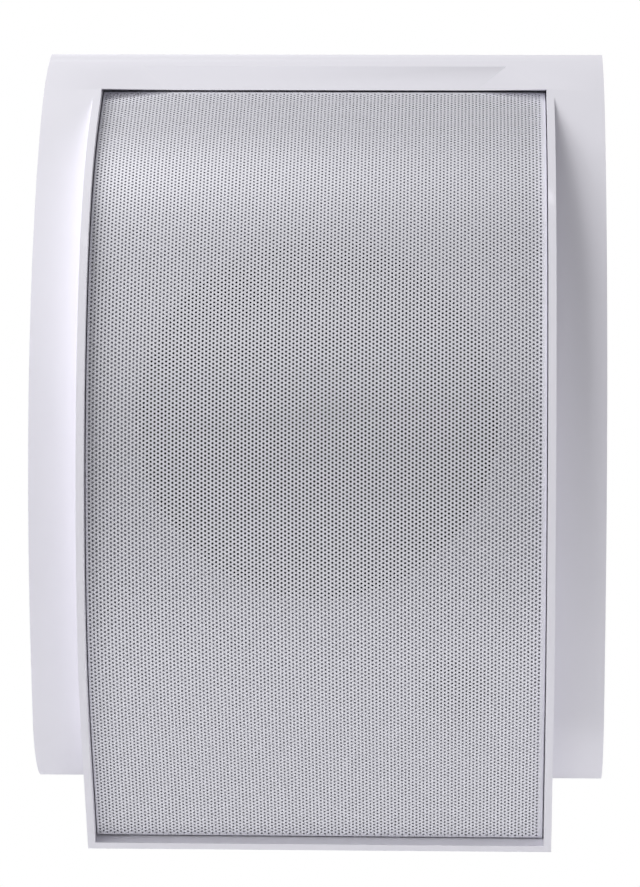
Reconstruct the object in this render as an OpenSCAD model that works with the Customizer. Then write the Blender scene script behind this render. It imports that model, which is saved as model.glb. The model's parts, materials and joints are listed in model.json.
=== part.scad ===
// Wall speaker: one front moulding with side wings and a raised bowed frame,
// a perforated steel grille in that frame, and a cone driver, a reflex port and
// a line transformer behind it, closed by a flat rear cover that hangs on the wall.
// Millimetres. The origin is on the wall face, at the middle of the rear cover.
// +Z is up, +X is to the right seen from the front, and the front faces -Y.

/* [Housing] */
// Width of the housing across its two wings
body_w = 208; // [200:1:230]
// Height of the housing against the wall
body_h = 270.6; // [266:0.1:280]
// Wall thickness of the front moulding
wall = 2.8; // [2.2:0.1:3.2]
// How far the wings reach from the wall at their foremost line
wing_reach = 91; // [89:0.5:94]
// Height of the wings' foremost line, from the middle of the housing
wing_z = -10.8; // [-14:0.1:-8]
// Radius of the wings above their foremost line
wing_r_up = 194.3; // [190:0.1:198]
// Tilt at which the wings tighten towards the top, in degrees
wing_a_up = 37.1; // [36:0.1:38]
// Tilt of the wings at the top edge, in degrees
wing_a_top = 70.5; // [68:0.1:73]
// Radius of the wings below their foremost line
wing_r_low = 249.7; // [240:0.1:260]
// Tilt of the straight run above the bottom edge, in degrees
wing_a_low = 18.5; // [17:0.5:19.5]
// Radius of the rounded bottom edge of the wings
wing_r_foot = 36.5; // [34:0.5:39]

/* [Grille] */
// How far the grille reaches from the wall at its foremost line
bow_reach = 102; // [100:0.5:104]
// Height of the grille's foremost line, from the middle of the housing
bow_z = -12.5; // [-15:0.5:-10]
// Radius of the bow above its foremost line
bow_r_up = 207; // [200:1:214]
// Tilt at which the bow tightens towards the top, in degrees
bow_a_up = 16.5; // [15:0.5:18]
// Radius of the bow near the top
bow_r_top = 114; // [110:1:118]
// Tilt of the straight run at the top, in degrees
bow_a_top = 53; // [52:0.5:54]
// Length of the straight run at the top
bow_run_top = 23.7; // [22:0.1:25]
// Radius of the bow below its foremost line
bow_r_low = 247; // [240:1:260]
// Tilt at which the bow tightens towards the foot, in degrees
bow_a_low = 12; // [10:0.5:14]
// Radius of the bow near the foot
bow_r_foot = 154; // [148:1:160]
// Tilt of the straight run at the foot, in degrees
bow_a_foot = 34.5; // [33:0.5:36]
// Length of the straight run at the foot
bow_run_foot = 45.8; // [43:0.1:47]
// Thickness of the grille's sheet steel
sheet_t = 1; // [0.8:0.1:1.4]
// Depth of the edge that is turned back all round the grille
grille_lip = 5.8; // [5:0.1:6.5]
// Pitch of the holes, drawn coarse: the real sheet has a 1.5 mm pitch
hole_pitch = 13.2; // [12:0.2:20]
// Width of a hole as drawn
hole_d = 7.8; // [6:0.2:9]
// Plain margin from the grille's edge to the first hole's middle
hole_margin = 6.5; // [6:0.5:12]

/* [Frame round the grille] */
// Outer width of the raised frame
frame_w = 171; // [168:1:173]
// Thickness of the frame's walls
rim_t = 2.8; // [2.4:0.1:3.2]
// How far the frame's edge stands proud of the grille
rim_proud = 3.7; // [3:0.1:4.2]
// How much lower the frame's curve sits than the grille's
rim_drop = 0.6; // [0.4:0.1:1]
// Gap between the grille and the frame, all round
grille_gap = 0.4; // [0.3:0.1:0.8]
// Clearance behind the turned edge of the grille
lip_gap = 0.2; // [0.1:0.1:0.5]
// Thickness of the floor that carries the driver
floor_t = 2.8; // [2.2:0.1:3.2]
// Width of each slot for the grille's tabs
tab_slot_w = 12.4; // [8:0.2:13]
// Width of each tab in its slot
tab_w = 3.4; // [2.4:0.2:5]
// Distance from the recess's side to the middle of each slot
tab_inset = 6.8; // [6.8:0.1:12]
// Height of the gap between the grille's top edge and the flange above it
top_gap = 0.8; // [0.6:0.1:1.2]
// How far that gap runs on behind the flange
top_pocket = 2.5; // [1.5:0.5:3]

/* [Driver] */
// Height of the driver's middle
drv_z = -2.5; // [-6:0.5:1]
// Diameter of the opening in front of the driver
opening_d = 130; // [126:1:132]
// Distance from the wall to the back of the driver's seat
seat_y = 71; // [70:0.5:73]
// Thickness of the seat
seat_t = 3; // [2.5:0.1:3.5]
// Width of the driver's flange round the opening
flange_w = 11; // [10:0.5:12]
// Thickness of the basket's steel
basket_t = 1.2; // [1:0.1:1.5]
// Thickness of the gasket behind the seat
gasket_t = 2; // [1.5:0.1:2.5]
// Width of the bare edge of the seat inside the gasket
seat_edge = 3; // [2.5:0.1:3.5]
// Distance from the wall to the basket's rear face
basket_base_y = 29; // [28.5:0.5:31]
// Distance from the wall to the ledge that holds the spider
ledge_y = 41; // [40:0.5:42]
// Outer diameter of the spider
spider_d = 78; // [74:1:80]
// Half of the angle that each post between the basket's windows covers
post_half = 12; // [8:1:16]
// Diameter of the cone at its edge
cone_d = 112; // [110:1:113]
// Thickness of the cone's paper
cone_t = 0.9; // [0.8:0.1:1.2]
// Distance from the wall to the cone's neck
neck_y = 46; // [45:0.5:47]
// Outer diameter of the voice coil's former
former_d = 32.4; // [32:0.1:32.6]
// Thickness of the former
former_t = 0.3; // [0.2:0.05:0.4]
// Thickness of the wire wound on the former
coil_t = 0.7; // [0.5:0.05:0.8]
// Diameter of the pole piece
pole_d = 30.8; // [30.6:0.1:31]
// Bore of the top plate
gap_d = 35; // [34.8:0.1:35.4]
// Thickness of the top plate
top_plate_t = 4.5; // [4:0.5:5]
// Diameter of the ferrite ring
magnet_d = 86; // [80:1:90]
// Bore of the ferrite ring
magnet_bore = 44; // [42:1:48]
// Thickness of the ferrite ring
magnet_t = 13; // [12:0.5:13.5]
// Thickness of the yoke's plate
yoke_t = 5; // [4:0.5:5.5]
// Diameter of the dust cap
dust_cap_d = 40; // [38:1:44]
// How far the cone moves each way
cone_travel = 3; // [2:0.5:3]

/* [Port] */
// Distance of the port's middle from the frame's right side
port_inset = 34.5; // [32:0.5:36]
// Distance of the port's middle below the driver's
port_drop = 99.5; // [98:0.5:102]
// Bore of the port tube
port_bore = 25.4; // [22:0.2:26]
// Wall of the port tube
port_wall = 1.6; // [1.2:0.1:2]
// Distance from the wall to the port's inner end
port_end_y = 20; // [15:1:30]
// Length of the collar that holds the port tube
collar_len = 12; // [8:1:16]

/* [Rear cover] */
// Thickness of the rear cover
cover_t = 3; // [2.5:0.1:3.5]
// Gap between the rear cover and the front moulding
cover_gap = 0.3; // [0.2:0.1:0.5]
// Distance of the cover's screws from the housing's sides
cover_screw_inset = 11; // [10.5:0.1:11.5]
// Distance of the cover's end screws from the housing's ends
cover_screw_end = 19; // [18:0.5:27]
// Distance between the two keyholes
keyhole_pitch = 120; // [100:1:130]
// Distance of the keyholes' entries below the top edge
keyhole_drop = 39.3; // [37:0.1:43]
// Diameter of the keyhole's entry for a screw's head
keyhole_d = 9.5; // [8:0.5:11]
// Width of the keyhole's slot for a screw's shank
keyhole_slot_w = 4.8; // [4:0.2:6]
// Length from the entry's middle to the slot's top
keyhole_run = 10; // [8:0.5:12]

/* [Line transformer] */
// Distance of the transformer's middle to the left of the terminal cup's
trafo_to_cup = 58; // [57.5:0.1:58.5]
// Height of the transformer's middle above the bottom edge
trafo_rise = 36.3; // [34:0.1:38]
// Width of the laminated core
core_w = 48; // [46:1:50]
// Height of the laminated core, away from the cover
core_h = 40; // [38:1:42]
// Thickness of the stack of laminations
core_stack = 16; // [14:1:18]
// Width of the core's two windows
window_w = 8; // [7.5:0.5:8.5]
// Length of the core's windows
window_h = 24; // [22:1:26]
// Thickness of the clamp's steel
clamp_t = 1; // [0.8:0.1:1.2]
// Height of the posts that carry the clamp's feet
trafo_post_h = 6; // [5:0.5:8]

/* [Terminals] */
// Distance of the terminal cup from the middle, to the right
cup_x = 7; // [6:0.5:8]
// Height of the terminal cup's middle above the bottom edge
cup_rise = 39.3; // [37:0.1:41]
// Inner width of the terminal cup
cup_w = 40; // [38:1:42]
// Inner height of the terminal cup
cup_h = 24; // [22:1:26]
// Depth of the terminal cup
cup_depth = 18; // [17:0.5:20]
// Width of the cable channel
channel_w = 8; // [6:0.5:9]
// Depth of the cable channel
channel_depth = 6; // [5:0.5:7]

/* [Wadding] */
// Height of the pad of wadding
wadding_h = 46; // [30:1:48]
// Thickness of the pad of wadding
wadding_t = 14; // [8:1:20]

/* [Hidden] */
$fn = 64;

// Finest turn of one facet along a bowed outline, in degrees
arc_step = 2.5;
// Overrun that lets a cut pass cleanly through a face
over = 1;
// Running and seating clearances
shank_clear = 0.05;
seat_clear = 0.3;
deep = 300;

// Places against the wall and on the driver's axis
port_x = frame_w / 2 - port_inset;
port_z = drv_z - port_drop;
keyhole_z = body_h / 2 - keyhole_drop;
trafo_x = trafo_to_cup - cup_x;
trafo_z = -body_h / 2 + trafo_rise;
cup_z = -body_h / 2 + cup_rise;
cover_screw_x = body_w / 2 - cover_screw_inset;
cover_screw_z = [-body_h / 2 + cover_screw_end, wing_z, body_h / 2 - cover_screw_end];

// Small fasteners
cover_screw_r = 1.45;
cover_screw_len = 14;
cover_head_r = 2.9;
cover_head_h = 1.8;
cover_boss_r = 4;
driver_screw_r = 1.9;
driver_screw_len = 11;
driver_head_r = 3.8;
driver_head_h = 2.4;
driver_boss_r = 4.4;
trafo_screw_r = 1.5;
trafo_screw_len = 8;
trafo_head_r = 2.9;
trafo_head_h = 2;

// Offsets behind the grille's front face
floor_front = grille_lip + lip_gap;
floor_back = floor_front + floor_t;
flange_d = opening_d + 2 * flange_w;
lip_in_d = opening_d + 2 * seat_edge;
screw_pcd = (flange_d + lip_in_d) / 2;
recess_w = frame_w - 2 * rim_t;
// Depth of the recess's cut in front of the grille, clear of the frame's edge
rim_clear = 2 * (rim_proud + rim_drop);
grille_w = recess_w - 2 * grille_gap;

// The grille's bow and the wings' curve: reach, height of the foremost line,
// and the legs above and below it. A leg is [radius, tilt at its end], or
// [0, length] where it runs straight.
bow_up = [[bow_r_up, bow_a_up], [bow_r_top, bow_a_top], [0, bow_run_top]];
bow_low = [[bow_r_low, bow_a_low], [bow_r_foot, bow_a_foot], [0, bow_run_foot]];

wing_r_top = (body_h / 2 - wing_z - wing_r_up * sin(wing_a_up))
    / (sin(wing_a_top) - sin(wing_a_up));
wing_run_low = (body_h / 2 + wing_z - wing_r_low * sin(wing_a_low)
    - wing_r_foot * (1 - sin(wing_a_low))) / cos(wing_a_low);
wing_up = [[wing_r_up, wing_a_up], [wing_r_top, wing_a_top]];
wing_low = [[wing_r_low, wing_a_low], [0, wing_run_low], [wing_r_foot, 90]];

function reversed(list) = [for (i = [len(list) - 1:-1:0]) list[i]];

// Points along the legs, from point p at tilt a; way is 1 upwards, -1 downwards
function legs_path(p, a, legs, off, way, i = 0) =
    i == len(legs) ? [] :
    legs[i][0] == 0
        ? let (q = p + legs[i][1] * [sin(a), way * cos(a)])
          concat([q], legs_path(q, a, legs, off, way, i + 1))
        : let (
            r = legs[i][0] + off,
            last = legs[i][1],
            centre = p + r * [cos(a), -way * sin(a)],
            n = ceil((last - a) / arc_step),
            points = [for (k = [1:n])
                let (b = a + (last - a) * k / n)
                centre + r * [-cos(b), way * sin(b)]]
          )
          concat(points, legs_path(points[n - 1], last, legs, off, way, i + 1));

// A whole curve, from its foot to its top, set off forwards by off
function curve(reach, z, up, low, off) =
    let (start = [-reach - off, z])
    concat(
        reversed(legs_path(start, 0, low, off, -1)),
        [start],
        legs_path(start, 0, up, off, 1));

// The bow with both straight runs made longer by extra, the upper one also by top
function bow(off, extra = 0, top = 0) = curve(
    bow_reach, bow_z,
    [bow_up[0], bow_up[1], [0, bow_run_top + extra + top]],
    [bow_low[0], bow_low[1], [0, bow_run_foot + extra]], off);
function wing(off) = curve(wing_reach, wing_z, wing_up, wing_low, off);
function rim(extra) = [for (p = bow(rim_proud, extra)) p - [0, rim_drop]];

// Point and tilt on the bow at arc length s above its foremost line
function walk(p, a, legs, s, way, i = 0) =
    let (
        straight = legs[i][0] == 0,
        len_i = straight ? legs[i][1] : legs[i][0] * (legs[i][1] - a) * PI / 180,
        last = i == len(legs) - 1
    )
    straight ? [p + s * [sin(a), way * cos(a)], way * a] :
    let (
        r = legs[i][0],
        centre = p + r * [cos(a), -way * sin(a)],
        b = a + min(s, len_i) / r * 180 / PI,
        q = centre + r * [-cos(b), way * sin(b)]
    )
    s <= len_i || last ? [q, way * b] : walk(q, b, legs, s - len_i, way, i + 1);
function bow_at(s) = s >= 0
    ? walk([-bow_reach, bow_z], 0, bow_up, s, 1)
    : walk([-bow_reach, bow_z], 0, bow_low, -s, -1);
function legs_length(legs, a = 0, i = 0) =
    i == len(legs) ? 0 :
    legs[i][0] == 0 ? legs[i][1] + legs_length(legs, a, i + 1)
        : legs[i][0] * (legs[i][1] - a) * PI / 180 + legs_length(legs, legs[i][1], i + 1);
bow_len_up = legs_length(bow_up);
bow_len_low = legs_length(bow_low);
// Height of the flange's lower edge, over the grille
recess_top = bow_at(bow_len_up)[0][1] + top_gap;

// Extrudes a side view (Y across, Z up) evenly about the middle, along X
module slab(w) {
    rotate([90, 0, 90]) linear_extrude(w, center = true) children();
}

// Stands its children on the wall at x, z, so that their own z runs forwards
module from_wall(x, z, y = 0) {
    translate([x, -y, z]) rotate([90, 0, 0]) children();
}

module at_driver(y = 0) {
    from_wall(0, drv_z, y) children();
}

// Outlines seen from the side
module band_outline(front, back, extra = 0, top = 0) {
    polygon(concat(bow(-front, extra, top), reversed(bow(-back, extra, top))));
}

module wing_outline() {
    polygon(concat(wing(0), [[0, body_h / 2], [0, -body_h / 2]]));
}

module wing_inside_outline() {
    inner = wing(-wall);
    polygon(concat(inner, [
        [over, inner[len(inner) - 1][1]],
        [over, -body_h / 2 + wall]
    ]));
}

// All that lies behind a curve, down to the wall, between two heights
module behind_outline(points, z_low, z_high, rear = 0) {
    intersection() {
        polygon(concat(points, [
            [rear, points[len(points) - 1][1]],
            [rear, points[0][1]]
        ]));
        translate([-deep, z_low]) square([deep + rear, z_high - z_low]);
    }
}

module tub_outline() {
    intersection() {
        band_outline(-rim_clear, floor_back, grille_gap + rim_t, top_pocket);
        union() {
            behind_outline(rim(2 * rim_t + rim_drop), -body_h, recess_top);
            wing_outline();
        }
    }
}

// The recess that holds the grille, under the flange
module recess_outline(end, z_low = -body_h) {
    intersection() {
        band_outline(-rim_clear, floor_front, end, top_pocket);
        translate([-deep, z_low]) square([deep, recess_top - z_low]);
    }
}

// The front moulding: wings, top flange, raised frame, floor and bosses
module front_shell() color([0.92, 0.92, 0.95]) difference() {
    union() {
        difference() {
            union() {
                difference() {
                    union() {
                        slab(body_w) wing_outline();
                        slab(frame_w) behind_outline(
                            rim(grille_gap + rim_t), -body_h / 2, recess_top);
                    }
                    slab(body_w - 2 * wall) wing_inside_outline();
                }
                slab(frame_w) tub_outline();
            }
            slab(recess_w) behind_outline(
                bow(-floor_back, grille_gap), -body_h / 2 + wall, body_h / 2 - wall, over);
            slab(recess_w) recess_outline(grille_gap);
            tab_slots();
            at_driver() cylinder(h = deep, d = opening_d);
            at_driver(basket_base_y) cylinder(
                h = seat_y - basket_base_y, d = flange_d + 2 * seat_clear);
            from_wall(port_x, port_z) cylinder(h = deep, d = port_bore + 2 * port_wall);
        }
        at_driver(seat_y) difference() {
            cylinder(h = seat_t, d = flange_d + 2 * wall);
            translate([0, 0, -over]) cylinder(h = seat_t + 2 * over, d = opening_d);
        }
        intersection() {
            union() {
                at_driver(seat_y) difference() {
                    cylinder(h = deep, d = opening_d + 2 * wall);
                    translate([0, 0, -over]) cylinder(h = deep + 2 * over, d = opening_d);
                }
                driver_screw_places(seat_y) cylinder(h = deep, r = driver_boss_r);
                from_wall(port_x, port_z, collar_y()) port_collar();
            }
            slab(recess_w) behind_outline(bow(-floor_front, grille_gap), -body_h, body_h);
        }
        intersection() {
            cover_screw_places(cover_t) cylinder(h = deep, r = cover_boss_r);
            slab(body_w) wing_outline();
        }
    }
    driver_screw_places(seat_y - over) cylinder(
        h = driver_screw_len, r = driver_screw_r + shank_clear);
    cover_screw_places(cover_t - over) cylinder(
        h = cover_screw_len, r = cover_screw_r + shank_clear);
    cable_notch();
}

module tab_slots() {
    for (side = [-1, 1])
        translate([side * (recess_w / 2 - tab_inset), 0, 0])
            slab(tab_slot_w) recess_outline(grille_gap + rim_t + over, bow_z);
}

function collar_y() = bow_reach - bow_depth(port_z) - floor_back - collar_len;
// Depth of the bow behind its foremost line, at height z below it
function bow_depth(z) = let (
    s = bow_low[0][0] * bow_a_low * PI / 180 + bow_low[1][0] * (bow_a_foot - bow_a_low) * PI / 180,
    knee = bow_at(-s)
) bow_reach + knee[0][0] + max(0, knee[0][1] - z) * tan(bow_a_foot);

module port_collar() difference() {
    cylinder(h = deep, d = port_bore + 2 * port_wall + 2 * wall);
    translate([0, 0, -over]) cylinder(h = deep, d = port_bore + 2 * port_wall);
}

module cable_notch() {
    from_wall(cup_x, -body_h / 2, -over) translate([-channel_w / 2, -over, 0])
        cube([channel_w, wall + 2 * over, channel_depth + over]);
}

module driver_screw_places(y) {
    for (a = [45:90:315])
        at_driver(y) rotate(a) translate([screw_pcd / 2, 0, 0]) children();
}

module cover_screw_places(y) {
    for (side = [-1, 1], z = cover_screw_z)
        from_wall(side * cover_screw_x, z, y) children();
}

// The perforated steel grille, bent to the bow and turned back at its edges
module grille() color([0.86, 0.86, 0.9]) {
    difference() {
        slab(grille_w) band_outline(0, grille_lip);
        slab(grille_w - 2 * sheet_t) band_outline(sheet_t, floor_back, -sheet_t);
        grille_holes();
    }
    grille_tabs();
}

module grille_holes() {
    column = hole_pitch * sqrt(3) / 2;
    columns = floor((grille_w / 2 - hole_margin) / column);
    for (c = [-columns:columns]) {
        shift = abs(c) % 2 == 1 ? hole_pitch / 2 : 0;
        rows_up = floor((bow_len_up - hole_margin - shift) / hole_pitch);
        rows_low = floor((bow_len_low - hole_margin + shift) / hole_pitch);
        for (k = [-rows_low:rows_up]) {
            place = bow_at(k * hole_pitch + shift);
            translate([c * column, place[0][0], place[0][1]])
                rotate([90 - place[1], 0, 0])
                    cylinder(h = 2 * sheet_t + over, d = hole_d, center = true, $fn = 8);
        }
    }
}

module grille_tabs() {
    for (side = [-1, 1])
        translate([side * (recess_w / 2 - tab_inset), 0, 0])
            slab(tab_w) difference() {
                band_outline(grille_lip - sheet_t, grille_lip, grille_gap + rim_t / 2, top_pocket);
                band_outline(0, floor_back, -sheet_t / 2);
                translate([-deep, -deep]) square([deep, deep + bow_z]);
            }
}

// The flat rear cover with its keyholes, terminal cup and cable channel
cover_w = body_w - 2 * wall - 2 * cover_gap;
cover_top = wing(-wall)[len(wing(-wall)) - 1][1] - cover_gap;
cover_low = -body_h / 2 + wall + cover_gap;
pocket_h = 7;
pocket_wall = 2;
pocket_play = 1;
pocket_over = 3.5;
rib_h = 5;
rib_inset = 15;
rib_x = cover_w / 2 - rib_inset;
rib_low = cover_low + pocket_wall + channel_w / 2;
rib_high = cover_top - rib_inset;

module rear_cover() color([0.9, 0.9, 0.93]) difference() {
    union() {
        plate(cover_w, cover_low, cover_top, 0, cover_t);
        difference() {
            plate(2 * rib_x, rib_low, rib_high, cover_t, rib_h);
            plate(2 * (rib_x - pocket_wall), rib_low + pocket_wall,
                rib_high - pocket_wall, cover_t - over, rib_h + 2 * over);
        }
        for (side = [-1, 1]) 
            keyhole_box(side * keyhole_pitch / 2, pocket_wall, 0, cover_t + pocket_h);
        cup_box(pocket_wall, 0, cup_depth + pocket_wall);
        channel_box(pocket_wall, 0, channel_depth + pocket_wall);
        for (side = [-1, 1]) {
            trafo_screw_place(side, 0) cylinder(h = cover_t + trafo_post_h, r = foot_half);
            translate([-trafo_x + side * core_w / 4, 0, trafo_z])
                plate(pocket_wall, -core_stack / 2, core_stack / 2, 0, trafo_y);
        }
    }
    for (side = [-1, 1]) {
        keyhole_cut(side * keyhole_pitch / 2);
        trafo_screw_place(side, trafo_y + clamp_t - trafo_screw_len - seat_clear)
            cylinder(h = trafo_screw_len + over, r = trafo_screw_r + shank_clear);
    }
    cup_box(0, -over, cup_depth + over);
    channel_box(0, -over, channel_depth + over);
    for (i = [-1:1])
        from_wall(cup_x + i * terminal_pitch, cup_z + cup_h / 2 - lead_hole_inset)
            cylinder(h = cup_depth + 3 * pocket_wall, r = lead_hole_r);
    for (side = [-1, 1])
        from_wall(cup_x + side * block_screw_x, cup_z)
            cylinder(h = cup_depth + 3 * pocket_wall, r = block_screw_r + shank_clear);
    cover_screw_places(-over) {
        cylinder(h = cover_t + 2 * over, r = cover_screw_r + cover_gap);
        cylinder(h = over + cover_head_h, r2 = cover_screw_r + shank_clear,
            r1 = cover_head_r + shank_clear
                + over * (cover_head_r - cover_screw_r) / cover_head_h);
    }
}

// A plate w wide about the middle, between two heights, from y forwards
module plate(w, z_low, z_high, y, t) {
    translate([-w / 2, -y - t, z_low]) cube([w, t, z_high - z_low]);
}

// The box behind a keyhole, grown by its walls, from y forwards
module keyhole_box(x, grow, y, h) translate([x, 0, 0])
    plate(keyhole_d + 2 * (pocket_play + grow), keyhole_z - keyhole_d / 2 - pocket_play - grow,
        keyhole_z + keyhole_run + pocket_over + grow, y, h);

module keyhole_cut(x) {
    from_wall(x, keyhole_z, -over) cylinder(h = cover_t + over, d = keyhole_d);
    from_wall(x, keyhole_z + keyhole_run - keyhole_slot_w / 2, -over)
        cylinder(h = cover_t + over, d = keyhole_slot_w);
    translate([x, 0, 0])
        plate(keyhole_slot_w, keyhole_z, keyhole_z + keyhole_run - keyhole_slot_w / 2,
            -over, cover_t + over);
    keyhole_box(x, 0, cover_t, pocket_h - pocket_wall);
}

module cup_box(grow, y, h) translate([cup_x, 0, cup_z])
    plate(cup_w + 2 * grow, -cup_h / 2 - grow, cup_h / 2 + grow, y, h);

module channel_box(grow, y, h) translate([cup_x, 0, 0])
    plate(channel_w + 2 * grow, cover_low - (grow == 0 ? over : 0), cup_z, y, h);

module cover_screws() color("silver") cover_screw_places(0) {
    cylinder(h = cover_head_h, r1 = cover_head_r, r2 = cover_screw_r);
    cylinder(h = cover_t + cover_screw_len - 2 * over, r = cover_screw_r);
}

module port_tube() color([0.8, 0.8, 0.83]) intersection() {
    from_wall(port_x, port_z, port_end_y) difference() {
        cylinder(h = deep, d = port_bore + 2 * port_wall);
        translate([0, 0, -over]) cylinder(h = deep, d = port_bore);
    }
    slab(recess_w) behind_outline(bow(-floor_front, grille_gap), -body_h, body_h);
}

// Distances from the wall along the driver's axis, from its flange backwards
flange_y = seat_y - gasket_t;
base_front_y = basket_base_y + basket_t;
top_plate_y = basket_base_y - top_plate_t;
magnet_y = top_plate_y - magnet_t;
yoke_y = magnet_y - yoke_t;
coil_mid_y = top_plate_y + top_plate_t / 2;
// The winding overhangs the top plate by the cone's travel at each end
coil_len = top_plate_t + 2 * cone_travel;
lip_r = opening_d / 2 - 0.6;
base_r = spider_d / 2 - 3;
base_hole_r = gap_d / 2 + 2;
ledge_r = spider_d / 2 + 1.6;

module ring(h, d_out, d_in) difference() {
    cylinder(h = h, d = d_out);
    translate([0, 0, -over]) cylinder(h = h + 2 * over, d = d_in);
}

module driver_gasket() color([0.15, 0.15, 0.16]) difference() {
    at_driver(flange_y) ring(gasket_t, flange_d, lip_in_d);
    driver_screw_places(flange_y - over)
        cylinder(h = gasket_t + 2 * over, r = driver_screw_r + shank_clear);
}

// Half of the basket's section: base, spider ledge, sloped wall and flange
module basket_section() {
    t = basket_t;
    polygon([
        [base_hole_r, basket_base_y],
        [base_r, basket_base_y],
        [base_r, ledge_y - t],
        [ledge_r + 0.9, ledge_y - t],
        [lip_r + 0.9, flange_y - t],
        [flange_d / 2, flange_y - t],
        [flange_d / 2, flange_y],
        [lip_r, flange_y],
        [ledge_r, ledge_y],
        [base_r - t, ledge_y],
        [base_r - t, basket_base_y + t],
        [base_hole_r, basket_base_y + t]
    ]);
}

module driver_basket() color([0.2, 0.2, 0.22]) difference() {
    at_driver() rotate_extrude() basket_section();
    basket_windows(ledge_y + 2 * basket_t, flange_y - 3 * basket_t, post_half);
    basket_windows(base_front_y + basket_t, ledge_y - 2 * basket_t, 1.6 * post_half);
    driver_screw_places(flange_y - 3 * basket_t)
        cylinder(h = 4 * basket_t, r = driver_screw_r + shank_clear);
}

// Six windows round the basket between two distances from the wall
module basket_windows(y_low, y_high, post) {
    at_driver(y_low) for (i = [0:5])
        rotate(30 + i * 60) window_wedge(60 - 2 * post, y_high - y_low);
}

// A wedge of the given angle that opens a window in the basket's wall
module window_wedge(angle, h) {
    near = base_r - 2 * basket_t;
    linear_extrude(h) polygon([
        near * [cos(angle / 2), -sin(angle / 2)],
        flange_d * [cos(angle / 2), -sin(angle / 2)],
        flange_d * [cos(angle / 2), sin(angle / 2)],
        near * [cos(angle / 2), sin(angle / 2)]
    ]);
}

module driver_screws() color("dimgray") driver_screw_places(
    flange_y - basket_t - driver_head_h) {
    cylinder(h = driver_head_h, r1 = driver_head_r - 0.6, r2 = driver_head_r);
    cylinder(h = driver_head_h + driver_screw_len, r = driver_screw_r);
}

// The rubber roll between the cone's edge and the basket
surround_t = 0.6;
roll_in = cone_d / 2 + 1;
roll_out = opening_d / 2 - 0.5;
roll_mid = (roll_in + roll_out) / 2;
roll_r = (roll_out - roll_in) / 2;

module surround() color([0.1, 0.1, 0.11]) at_driver(flange_y) rotate_extrude() {
    difference() {
        translate([roll_mid, 0]) circle(r = roll_r);
        translate([roll_mid, 0]) circle(r = roll_r - surround_t);
        translate([0, -roll_r - over]) square([opening_d, roll_r + over]);
    }
    translate([roll_in - 3, 0]) square([3 + surround_t, surround_t]);
    translate([roll_out - surround_t, 0])
        square([lip_in_d / 2 - seat_clear - roll_out + surround_t, surround_t]);
}

module cone() color([0.13, 0.13, 0.14]) at_driver() rotate_extrude() {
    neck = former_d / 2;
    edge = cone_d / 2;
    polygon([
        [neck, neck_y],
        [neck + 2, neck_y],
        [edge, flange_y - cone_t],
        [edge, flange_y],
        [edge - 2, flange_y],
        [neck + 1, neck_y + cone_t + 0.6],
        [neck, neck_y + cone_t + 0.6]
    ]);
}

module dust_cap() color([0.1, 0.1, 0.11]) {
    neck = former_d / 2;
    slope = (flange_y - neck_y - cone_t - 0.6) / (cone_d / 2 - 2 - neck - 1);
    seat = neck_y + cone_t + 0.6 + (dust_cap_d / 2 - neck - 1) * slope;
    rise = 7;
    r = (pow(dust_cap_d / 2, 2) + pow(rise, 2)) / (2 * rise);
    at_driver(seat + 0.05) rotate_extrude() intersection() {
        difference() {
            translate([0, rise - r]) circle(r = r);
            translate([0, rise - r]) circle(r = r - cone_t);
        }
        square([dust_cap_d, rise + over]);
    }
}

module coil_former() color([0.75, 0.6, 0.35])
    at_driver(coil_mid_y - coil_len / 2 - 1)
        ring(neck_y + cone_t + 0.6 - coil_mid_y + coil_len / 2 + 1,
            former_d, former_d - 2 * former_t);

module coil_winding() color([0.72, 0.4, 0.2])
    at_driver(coil_mid_y - coil_len / 2) ring(coil_len, former_d + 2 * coil_t, former_d);

// The corrugated spider between the former and the basket's ledge
spider_t = 0.5;
spider_ripple = 1.1;
spider_ripples = 5;

// Height of the cloth's middle above the ledge, at share u of the way outwards
function spider_wave(u) = spider_t / 2 + spider_ripple * (1 - cos(u * 360 * spider_ripples)) / 2;

module spider() color([0.7, 0.6, 0.35]) at_driver(ledge_y) rotate_extrude() {
    inner = former_d / 2;
    outer = spider_d / 2;
    n = 48;
    top = [for (i = [0:n]) [inner + (outer - inner) * i / n, spider_wave(i / n) + spider_t / 2]];
    low = [for (i = [n:-1:0]) [inner + (outer - inner) * i / n, spider_wave(i / n) - spider_t / 2]];
    polygon(concat(top, low));
}

module top_plate() color("gray") at_driver(top_plate_y)
    ring(top_plate_t, magnet_d - 6, gap_d);

module ferrite_magnet() color([0.18, 0.17, 0.17]) at_driver(magnet_y)
    ring(magnet_t, magnet_d, magnet_bore);

module yoke() color("gray") at_driver(yoke_y) {
    difference() {
        union() {
            cylinder(h = yoke_t, d = magnet_d - 4);
            cylinder(h = yoke_t + magnet_t + top_plate_t, d = pole_d);
        }
        translate([0, 0, yoke_t + magnet_t + top_plate_t - 1.5])
            cylinder(h = 1.5 + over, d = pole_d / 3);
    }
}

// The board with the two tags, riveted to the back of the basket's flange
board_w = 24;
board_h = 7.4;
board_t = 1.6;
board_r = flange_d / 2 - board_h / 2 - 0.8;
tag_pitch = 12;
tag_w = 4.8;
tag_t = 0.8;
tag_len = 11;

module at_board(y) {
    at_driver(y) translate([0, -board_r, 0]) children();
}

module tag_board() color([0.45, 0.28, 0.15])
    at_board(flange_y - basket_t - board_t) difference() {
        translate([-board_w / 2, -board_h / 2, 0]) cube([board_w, board_h, board_t]);
        for (side = [-1, 1]) translate([side * tag_pitch / 2, 0, board_t / 2])
            cube([tag_w + 2 * shank_clear, tag_t + 2 * shank_clear, board_t + over], center = true);
    }

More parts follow.
